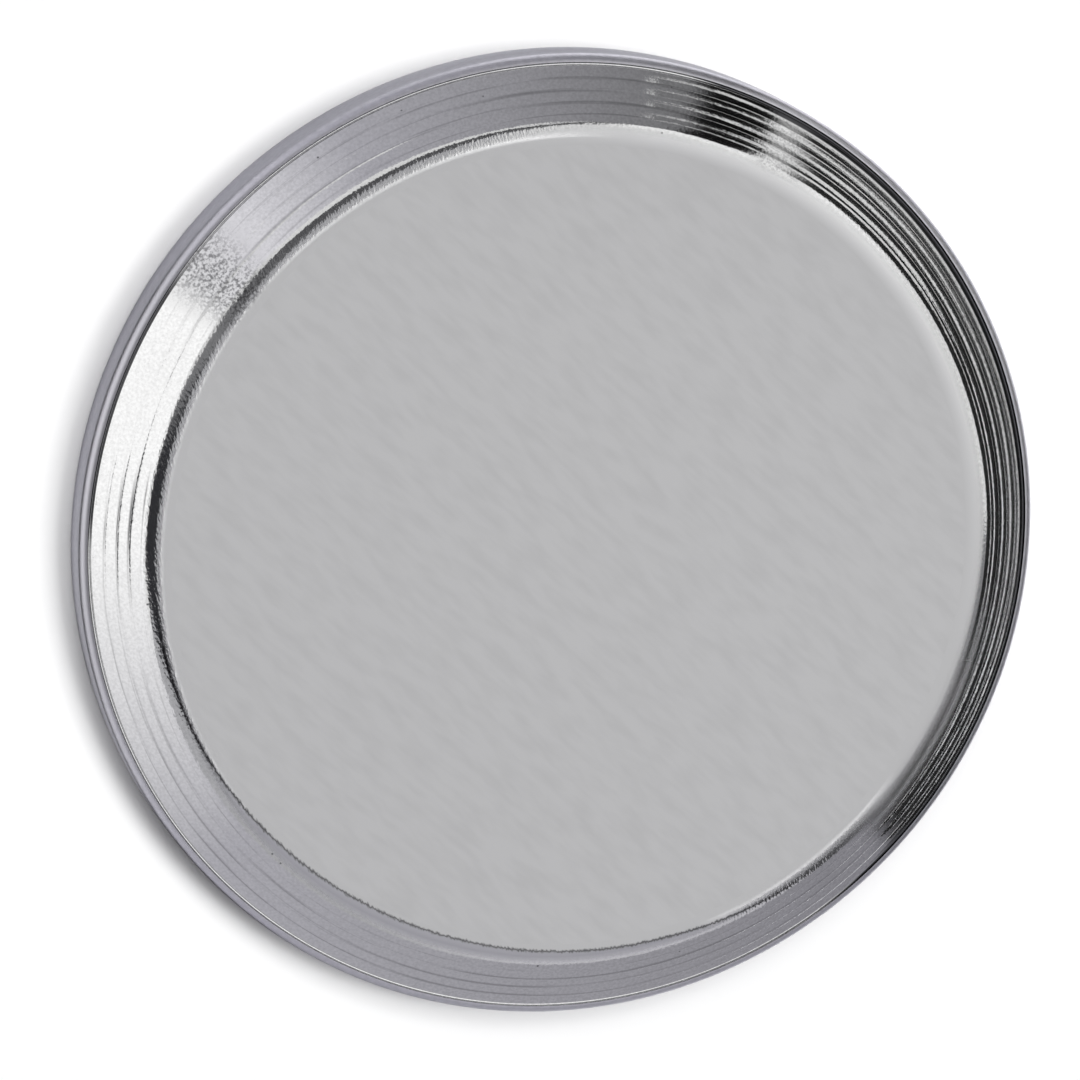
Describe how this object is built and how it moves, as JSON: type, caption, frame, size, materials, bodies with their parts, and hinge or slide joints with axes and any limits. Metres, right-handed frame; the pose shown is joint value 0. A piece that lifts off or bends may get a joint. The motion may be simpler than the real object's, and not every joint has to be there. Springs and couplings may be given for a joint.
{
  "type": "disc magnet",
  "caption": "Flat round plated magnet with an upright rim, a bevelled shoulder marked by fine turning grooves and a plain satin face that grips steel.",
  "frame": {"origin": "centre of the flat underside, which lies on the table", "axes": "+Z along the disc's own axis, from the underside to the plain face; +X and +Y lie in the underside and are alike"},
  "size_m": [0.02, 0.02, 0.002],
  "materials": {
    "nickel_plating": "nickel plating, satin on the flat face and underside, bright and turned on the bevel"
  },
  "bodies": {
    "root": {"magnet_disc": "nickel_plating"}
  },
  "joints": []
}
